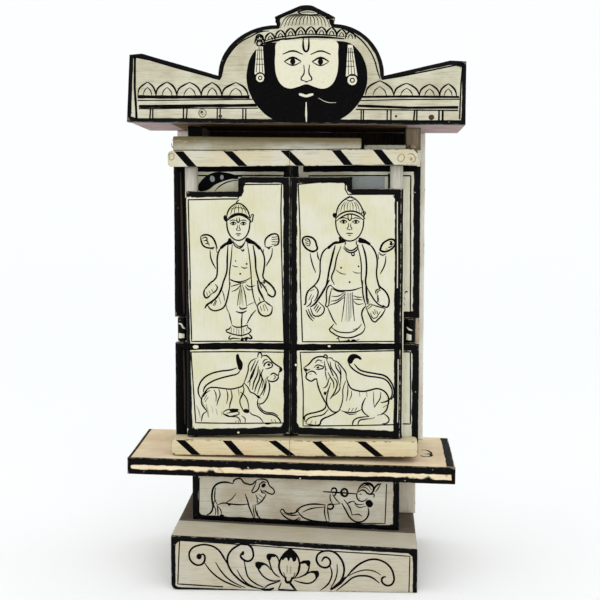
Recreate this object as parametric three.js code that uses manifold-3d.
// Folding shrine box: a story-teller's wooden box on a stepped base.  Two inner leaves are
// hinged to the box on upright rods, and each leaf carries a front door on whittled pins.
// Units are millimetres, +Z is up, the front faces -Y and +X is to the right.
// The origin is on the base block's underside, on the middle line of the box.
import * as THREE from 'three';
import { mergeVertices } from 'three/addons/utils/BufferGeometryUtils.js';
import Module from 'manifold-3d';

const wasm = await Module();
wasm.setup();

// ---- driving dimensions -------------------------------------------------------------------

// A level is a flat surface that the maker cut a little out of true: its height at the origin,
// its fall per millimetre to the right and its fall per millimetre to the back.
const level = (height, fallRight = 0, fallBack = 0) => (x, y) =>
  height - fallRight * x - fallBack * y;
const raised = (surface, amount) => (x, y) => surface(x, y) + amount;

const fit = 0.3;            // gap left between pieces that rest on each other

const block = { left: -82.5, right: 84.6, front: -70, back: 70, corner: 4 };
const blockTop = level(34.1, 0.0445);

const riser = { left: -72.8, right: 73, front: -26, back: 32, backRight: 85.8, wall: 8 };

const shelf = { left: -117.3, right: 111.4, front: -36, back: 66, thick: 11.6 };
const shelfUnder = level(69.5, 0.0215);
const shelfTop = raised(shelfUnder, shelf.thick);

const side = { thick: 10.3, front: 3.2, back: 55.7 };
const backBoard = { half: 92, front: 56, back: 64 };

const roof = { left: -113.5, right: 116, front: -24, back: 62, thick: 14 };
const roofPitch = THREE.MathUtils.degToRad(3.4);   // the roof falls towards the back
const roofRoll = THREE.MathUtils.degToRad(0.5);    // and a little towards the right
const roofHeight = 315.2;                          // underside of the roof's front edge
const roofUnder = level(
  roofHeight + roof.front * Math.tan(roofPitch), Math.tan(roofRoll), Math.tan(roofPitch));

const crest = {
  thick: 10, left: -114.7, right: 115.6, wingLeft: 46.3, wingRight: 42.9,
  valleyLeft: [-52.4, 31.7], valleyRight: [60.1, 32.5],
  notchLeft: [-12.9, 66], notchRight: [25.5, 67],
  shoulderLeft: [-14.4, 71.6], shoulderRight: [26.3, 71.7], peak: [7.5, 80.1],
};

const meeting = -4;          // x of the line where the leaves and the doors meet
const meetingGap = 1;

const leaf = { outer: 86.5, front: -8, back: 0, bottom: 84.1, top: 297.3, chamfer: 2 };
const leafRise = { top: 300.9, from: 47, to: 76 };         // taller stretch of the top edge
const leafNotch = { bottom: 161, top: 179.6, depth: 4.2 }; // room for the hinge ear

const ear = { radius: 3.6, bottom: 162, top: 178.6, lugFront: 0.6 };
const rod = { radius: 1.6, hole: 1.95, headRadius: 2.9, headBottom: 298.5, headTop: 301.6 };
const rodSocket = 6;         // how deep the rod's foot stands in the shelf

const bar = { front: -26, back: leaf.front - fit, cornerRadius: 3 };
const lowerBarUnder = level(83.8);
const lowerBarTop = level(94.8);
const topBarUnder = level(286.75, -0.0087);
const topBarTop = raised(topBarUnder, 10.9);
const capStrip = { left: -84.5, right: 45.1 };
const capStripTop = level(306.1, 0.0095);

const door = { front: -19, back: -10, bottomOuter: 95.6, bottomInner: 98.3, raisedTop: 278.7 };
const pin = { collar: 4.5, tenon: 3, hole: 3.3, reach: 6.5, holeDepth: 7.2 };
const pinY = (door.front + door.back) / 2;
const hingeY = (leaf.front + leaf.back) / 2;

// What differs between the two hands of this hand-cut piece.
const hands = {
  left: { sign: -1, hinge: 81.5, sideOuter: 77.6, pin: 73.1, doorOuter: 77.6, doorStep: 40.1,
    doorLowTop: 268.7, topBarEnd: 87.9, lowerBarEnd: 87.6 },
  right: { sign: 1, hinge: 80.4, sideOuter: 86.8, pin: 69.6, doorOuter: 75.2, doorStep: 39.1,
    doorLowTop: 270.7, topBarEnd: 84, lowerBarEnd: 85.6 },
};

const cream = { color: 0xd9d3b4, roughness: 0.75 };
const bareWood = { color: 0x8a6a4a, roughness: 0.8 };
const greyWood = { color: 0xa89f88, roughness: 0.8 };

// ---- shape helpers ------------------------------------------------------------------------

// A closed solid that manifold-3d can cut, made from a three.js geometry.
function toSolid(geometry) {
  const bare = geometry.clone();
  bare.deleteAttribute('normal');
  bare.deleteAttribute('uv');
  const merged = mergeVertices(bare, 1e-4);
  return new wasm.Manifold(new wasm.Mesh({
    numProp: 3,
    vertProperties: new Float32Array(merged.attributes.position.array),
    triVerts: new Uint32Array(merged.index.array),
  }));
}

function toGeometry(solid) {
  const mesh = solid.getMesh();
  const geometry = new THREE.BufferGeometry();
  geometry.setAttribute('position', new THREE.BufferAttribute(mesh.vertProperties, 3));
  geometry.setIndex(new THREE.BufferAttribute(mesh.triVerts, 1));
  geometry.computeVertexNormals();
  return geometry;
}

// A board with upright sides whose underside and top follow two levels.
function plank({ left, right, front, back }, bottom, top) {
  const geometry = new THREE.BoxGeometry(right - left, back - front, 1);
  geometry.translate((left + right) / 2, (front + back) / 2, 0);
  const position = geometry.attributes.position;
  for (let i = 0; i < position.count; i += 1) {
    const surface = position.getZ(i) > 0 ? top : bottom;
    position.setZ(i, surface(position.getX(i), position.getY(i)));
  }
  return geometry;
}

// A board cut to an outline that is drawn as seen from the front, x across and z up.
function sawn(shape, front, back) {
  const options = { depth: back - front, bevelEnabled: false, curveSegments: 12 };
  const geometry = new THREE.ExtrudeGeometry(shape, options);
  geometry.rotateX(Math.PI / 2);
  geometry.translate(0, back, 0);
  return geometry;
}

// A piece whose plan, seen from above, is the same from bottom to top.
function standing(shape, bottom, top) {
  const options = { depth: top - bottom, bevelEnabled: false, curveSegments: 12 };
  const geometry = new THREE.ExtrudeGeometry(shape, options);
  geometry.translate(0, 0, bottom);
  return geometry;
}

function uprightRod(x, y, radius, bottom, top, sides = 20) {
  const geometry = new THREE.CylinderGeometry(radius, radius, top - bottom, sides);
  geometry.rotateX(Math.PI / 2);
  geometry.translate(x, y, (bottom + top) / 2);
  return geometry;
}

function outline(points) {
  return new THREE.Shape(points.map(([x, z]) => new THREE.Vector2(x, z)));
}

function mesh(name, geometry, finish) {
  const material = new THREE.MeshStandardMaterial({ ...finish, metalness: 0 });
  const result = new THREE.Mesh(geometry, material);
  result.name = name;
  return result;
}

// ---- base ---------------------------------------------------------------------------------

// The base is one hewn block, lower at its right end, with a worn lower left corner.
function baseBlock() {
  const { left, right, front, back, corner } = block;
  const shape = new THREE.Shape();
  shape.moveTo(left, blockTop(left, 0));
  shape.lineTo(left, corner);
  shape.absarc(left + corner, corner, corner, Math.PI, 1.5 * Math.PI, false);
  shape.lineTo(right, 0);
  shape.lineTo(right, blockTop(right, 0));
  shape.closePath();
  return mesh('base_block', sawn(shape, front, back), cream);
}

// Four boards on edge make the hollow riser: the front and back run across the full width, the
// back one past it at the right, and the two ends stand between them.
function riserBoards() {
  const { left, right, front, back, backRight, wall } = riser;
  const bottom = raised(blockTop, fit);
  const top = raised(shelfUnder, -fit);
  const ends = { front: front + wall + fit, back: back - wall - fit };
  return [
    mesh('riser_front', plank({ left, right, front, back: front + wall }, bottom, top), cream),
    mesh('riser_back', plank({ left, right: backRight, front: back - wall, back }, bottom, top), bareWood),
    mesh('riser_left', plank({ left, right: left + wall, ...ends }, bottom, top), bareWood),
    mesh('riser_right', plank({ left: right - wall, right, ...ends }, bottom, top), bareWood),
  ];
}

// The shelf has a blind socket at each side for the foot of a hinge rod.
function shelfBoard() {
  let solid = toSolid(plank(shelf, shelfUnder, shelfTop));
  for (const { sign, hinge } of Object.values(hands)) {
    const x = sign * hinge;
    const top = shelfTop(x, hingeY);
    solid = solid.subtract(
      toSolid(uprightRod(x, hingeY, rod.hole, top - rodSocket, top + 2)));
  }
  return mesh('shelf', toGeometry(solid), bareWood);
}

// ---- box ----------------------------------------------------------------------------------

// A side board stands on the shelf and reaches the roof.  Half way up it has a lug behind the
// leaf, and on the lug an ear that holds the hinge rod inside a notch of the leaf.
function sideBoard(name, { sign, hinge, sideOuter }) {
  const [left, right] = [sign * (sideOuter - side.thick), sign * sideOuter].sort((a, b) => a - b);
  const board = plank(
    { left, right, front: side.front, back: side.back },
    raised(shelfTop, fit), raised(roofUnder, -fit));
  const x = sign * hinge;
  const neck = plank(
    { left: x - ear.radius, right: x + ear.radius, front: hingeY, back: side.front + 1 },
    level(ear.bottom), level(ear.top));
  const [lugLeft, lugRight] = [sign * (hinge + ear.radius), (left + right) / 2]
    .sort((a, b) => a - b);
  const lug = plank(
    { left: lugLeft, right: lugRight, front: ear.lugFront, back: side.front + 6 },
    level(ear.bottom), level(ear.top));
  const solid = toSolid(board)
    .add(toSolid(neck))
    .add(toSolid(lug))
    .add(toSolid(uprightRod(x, hingeY, ear.radius, ear.bottom, ear.top)))
    .subtract(toSolid(uprightRod(x, hingeY, rod.hole, ear.bottom - 1, ear.top + 1)));
  return mesh(name, toGeometry(solid), greyWood);
}

function backBoardPiece() {
  const { half, front, back } = backBoard;
  const geometry = plank(
    { left: -half, right: half, front, back }, raised(shelfTop, fit), raised(roofUnder, -fit));
  return mesh('back_board', geometry, greyWood);
}

// The rod that a leaf turns on: a straight shaft with a small domed head.
function hingeRod(name, { sign, hinge }) {
  const x = sign * hinge;
  const foot = shelfTop(x, hingeY) - rodSocket + fit;
  const { radius, headRadius, headBottom, headTop } = rod;
  const profile = [
    [0, foot], [radius, foot], [radius, headBottom], [headRadius, headBottom],
    [headRadius, headBottom + 1.2], [headRadius * 0.72, headTop - 0.7], [0, headTop],
  ].map(([r, z]) => new THREE.Vector2(r, z));
  const geometry = new THREE.LatheGeometry(profile, 16);
  geometry.rotateX(Math.PI / 2);
  geometry.translate(x, hingeY, 0);
  return mesh(name, geometry, bareWood);
}

// The roof lies on the box and its crest is nailed to its front edge, so both share one tilt.
function roofAndCrest() {
  const group = new THREE.Group();
  group.position.set(0, roof.front, roofHeight);
  group.rotation.set(-roofPitch, roofRoll, 0);
  const size = { left: roof.left, right: roof.right, front: 0, back: roof.back - roof.front };
  group.add(mesh('roof_board', plank(size, level(0), level(roof.thick)), bareWood));
  group.add(mesh('crest', sawn(crestOutline(), -crest.thick - fit, -fit), cream));
  return group;
}

// A rising wing at each side, a domed middle, and a small pointed cap on the dome.
function crestOutline() {
  const [valleyL, valleyR] = [crest.valleyLeft, crest.valleyRight];
  const [notchL, notchR] = [crest.notchLeft, crest.notchRight];
  const shape = new THREE.Shape();
  shape.moveTo(crest.left, 0);
  shape.lineTo(crest.right, 0);
  shape.lineTo(crest.right - 0.2, crest.wingRight - 0.4);
  shape.lineTo(crest.right - 11, crest.wingRight);
  shape.lineTo(...valleyR);
  domeQuarter(shape, valleyR, notchR);
  shape.lineTo(...crest.shoulderRight);
  shape.lineTo(crest.peak[0] + 4, crest.peak[1] - 1);
  shape.quadraticCurveTo(...crest.peak, crest.peak[0] - 5, crest.peak[1] - 1);
  shape.lineTo(...crest.shoulderLeft);
  shape.lineTo(...notchL);
  domeQuarter(shape, valleyL, notchL);
  shape.lineTo(...valleyL);
  shape.lineTo(crest.left + 10, crest.wingLeft);
  shape.lineTo(crest.left + 1.4, crest.wingLeft - 0.9);
  shape.closePath();
  return shape;
}

// A quarter of an ellipse between a valley and the notch under the cap.
function domeQuarter(shape, valley, notch) {
  const width = Math.abs(notch[0] - valley[0]);
  const height = notch[1] - valley[1];
  if (valley[0] > notch[0]) {
    shape.absellipse(notch[0], valley[1], width, height, 0, Math.PI / 2, false);
  } else {
    shape.absellipse(notch[0], valley[1], width, height, Math.PI / 2, Math.PI, false);
  }
}

// ---- inner leaves and their bars ----------------------------------------------------------

// The x of a leaf's or door's free edge: the two hands meet at one line with a gap between.
function freeEdge(sign) {
  return meeting + sign * meetingGap / 2;
}

function leafBoard(name, { sign, hinge }) {
  const { outer, front, back, bottom, top, chamfer } = leaf;
  const notchX = hinge - leafNotch.depth;
  const inner = sign * freeEdge(sign);
  const face = outline([
    [inner, bottom], [outer, bottom], [outer, leafNotch.bottom], [notchX, leafNotch.bottom],
    [notchX, leafNotch.top], [outer, leafNotch.top], [outer, top], [leafRise.to, top],
    [leafRise.to, leafRise.top], [leafRise.from, leafRise.top], [leafRise.from, top],
    [inner, top],
  ].map(([x, z]) => [sign * x, z]));
  const plan = outline([
    [inner, front], [outer, front], [outer, back - chamfer], [outer - chamfer, back],
    [inner, back],
  ].map(([x, y]) => [sign * x, y]));
  const solid = toSolid(sawn(face, front, back))
    .intersect(toSolid(standing(plan, bottom - 1, leafRise.top + 1)))
    .subtract(toSolid(
      uprightRod(sign * hinge, hingeY, rod.hole, bottom - 1, leafRise.top + 1)));
  return mesh(name, toGeometry(solid), cream);
}

// Half of a striped bar.  It butts closely against the other half, its outer end is rounded
// over, and it has a blind hole for a door pin in the face that looks towards the door.
function halfBar(name, { sign, pin: pinX }, end, under, top, holeFrom) {
  const inner = meeting + sign * fit / 2;
  const outer = sign * end;
  const round = bar.cornerRadius;
  const turnIn = outer - sign * round;
  const shape = new THREE.Shape();
  shape.moveTo(inner, under(inner, 0));
  shape.lineTo(outer - sign * round / 2, under(outer, 0));
  shape.lineTo(outer, under(outer, 0) + round / 2);
  shape.lineTo(outer, top(outer, 0) - round);
  shape.quadraticCurveTo(outer, top(outer, 0), turnIn, top(turnIn, 0));
  shape.lineTo(inner, top(inner, 0));
  shape.closePath();
  const x = sign * pinX;
  const hole = holeFrom === 'under'
    ? [under(x, 0) - 1, under(x, 0) + pin.holeDepth]
    : [top(x, 0) - pin.holeDepth, top(x, 0) + 1];
  const solid = toSolid(sawn(shape, bar.front, bar.back))
    .subtract(toSolid(uprightRod(x, pinY, pin.hole, ...hole)));
  return mesh(name, toGeometry(solid), cream);
}

// A batten nailed on the left half bar.  It runs on over the right half without touching it.
function capStripPiece() {
  const { left, right } = capStrip;
  const geometry = plank(
    { left, right, front: bar.front, back: bar.back }, raised(topBarTop, 0.35), capStripTop);
  return mesh('cap_strip', geometry, cream);
}

// ---- front doors --------------------------------------------------------------------------

// A door is one board with its pins whittled from it: the outer edge is rounded about the pins'
// axis, and the top steps down beside the upper pin.
function frontDoor(name, hand) {
  const { sign, pin: pinX, doorOuter, doorStep, doorLowTop } = hand;
  const inner = sign * freeEdge(sign);
  const face = outline([
    [inner, door.bottomInner], [doorOuter, door.bottomOuter], [doorOuter, doorLowTop],
    [doorStep, doorLowTop], [doorStep, door.raisedTop], [inner, door.raisedTop],
  ].map(([x, z]) => [sign * x, z]));
  const x = sign * pinX;
  const edge = uprightRod(
    x, pinY, doorOuter - pinX, door.bottomOuter - 1, door.raisedTop + 1, 24);
  const [left, right] = [x, sign * inner].sort((a, b) => a - b);
  const rest = plank(
    { left, right, front: door.front, back: door.back },
    level(door.bottomOuter - 1), level(door.raisedTop + 1));
  const upper = topBarUnder(x, 0);
  const lower = lowerBarTop(x, 0);
  const solid = toSolid(sawn(face, door.front, door.back))
    .intersect(toSolid(edge).add(toSolid(rest)))
    .add(toSolid(uprightRod(x, pinY, pin.collar, doorLowTop - 1, upper - 0.5)))
    .add(toSolid(uprightRod(x, pinY, pin.tenon, doorLowTop, upper + pin.reach)))
    .add(toSolid(uprightRod(x, pinY, pin.tenon, lower - pin.reach, door.bottomOuter + 2)));
  return mesh(name, toGeometry(solid), cream);
}

// ---- the whole piece ----------------------------------------------------------------------

const shrine = new THREE.Group();
shrine.add(baseBlock(), ...riserBoards(), shelfBoard(), backBoardPiece(), roofAndCrest());
for (const [word, hand] of Object.entries(hands)) {
  shrine.add(
    sideBoard(`side_board_${word}`, hand),
    hingeRod(`hinge_rod_${word}`, hand),
    leafBoard(`leaf_${word}`, hand),
    halfBar(`top_bar_${word}`, hand, hand.topBarEnd, topBarUnder, topBarTop, 'under'),
    halfBar(`lower_bar_${word}`, hand, hand.lowerBarEnd, lowerBarUnder, lowerBarTop, 'top'),
    frontDoor(`front_door_${word}`, hand),
  );
}
shrine.add(capStripPiece());

export default shrine;
